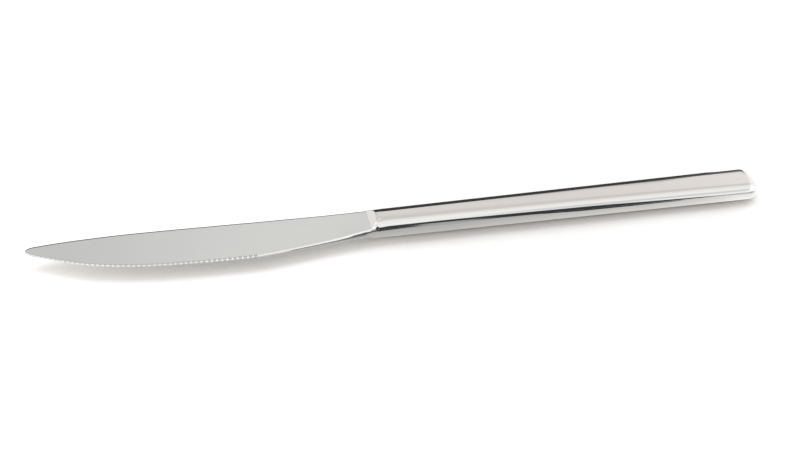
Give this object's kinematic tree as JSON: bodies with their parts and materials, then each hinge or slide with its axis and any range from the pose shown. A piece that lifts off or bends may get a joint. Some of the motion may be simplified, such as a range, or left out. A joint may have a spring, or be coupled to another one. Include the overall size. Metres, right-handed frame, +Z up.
{
  "type": "table knife",
  "caption": "Slim polished steel table knife with a finely serrated, gently bellied blade, a ground shoulder and a rounded hollow handle that widens to the butt.",
  "frame": {"origin": "on the table, below the middle of the knife's length and width as it lies on the flat back of its handle", "axes": "+X from the tip to the butt, +Y from the cutting edge to the spine, +Z up, out of the front face"},
  "size_m": [0.2384, 0.019, 0.0078],
  "materials": {
    "blade_steel": "mirror-polished stainless steel, lightly satin on the ground faces",
    "handle_steel": "mirror-polished stainless steel",
    "braze": "braze polished flush with the steel",
    "cement": "rough hardened cement, hidden inside the handle"
  },
  "bodies": {
    "root": {"blade": "blade_steel", "handle_shell_front": "handle_steel", "handle_shell_back": "handle_steel", "handle_seam": "braze", "neck_braze": "braze", "handle_filler": "cement"}
  },
  "joints": []
}
